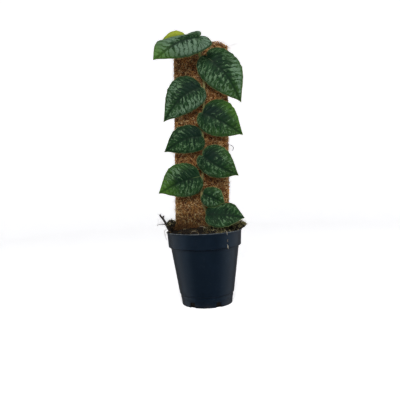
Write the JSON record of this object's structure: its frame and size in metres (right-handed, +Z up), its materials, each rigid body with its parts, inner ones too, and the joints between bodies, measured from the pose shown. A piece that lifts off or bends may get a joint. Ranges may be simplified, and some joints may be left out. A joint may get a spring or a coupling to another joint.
{
  "type": "potted shingling aroid on a coir board",
  "caption": "Shingle-leaved climbing aroid on a flat coir board, rooted in soil in a round plastic nursery pot that stands on its foot.",
  "frame": {"origin": "centre of the pot's foot, on the surface that it stands on", "axes": "+Z up along the pot's axis; -Y is the front, which the leaf faces look to; +X to the right seen from the front"},
  "size_m": [0.147, 0.1214, 0.4382],
  "materials": {
    "pot_plastic": "dark slate-blue moulded plastic, semi-matte, fine scuffs",
    "soil": "damp dark potting mix with bark chips, moss bits and pale fibres",
    "old_root": "dark dry root, rough",
    "coir": "matted orange-brown coconut fibre with loose ends",
    "stake_wood": "sawn softwood, plain",
    "stem": "green-brown stem with nodes and short clinging roots",
    "leaf": "leathery dark blue-green leaf with silver-grey patches between its veins and a lime edge",
    "young_leaf": "thin yellow-green new leaf"
  },
  "bodies": {
    "root": {"pot": "pot_plastic", "soil": "soil", "old_root": "old_root", "coir_board": "coir", "stake": "stake_wood", "stem": "stem", "leaf_1": "leaf", "leaf_2": "leaf", "leaf_3": "leaf", "leaf_4": "leaf", "leaf_5": "leaf", "leaf_6": "leaf", "leaf_7": "leaf", "leaf_8": "leaf", "leaf_9": "leaf", "young_leaf": "young_leaf"}
  },
  "joints": []
}
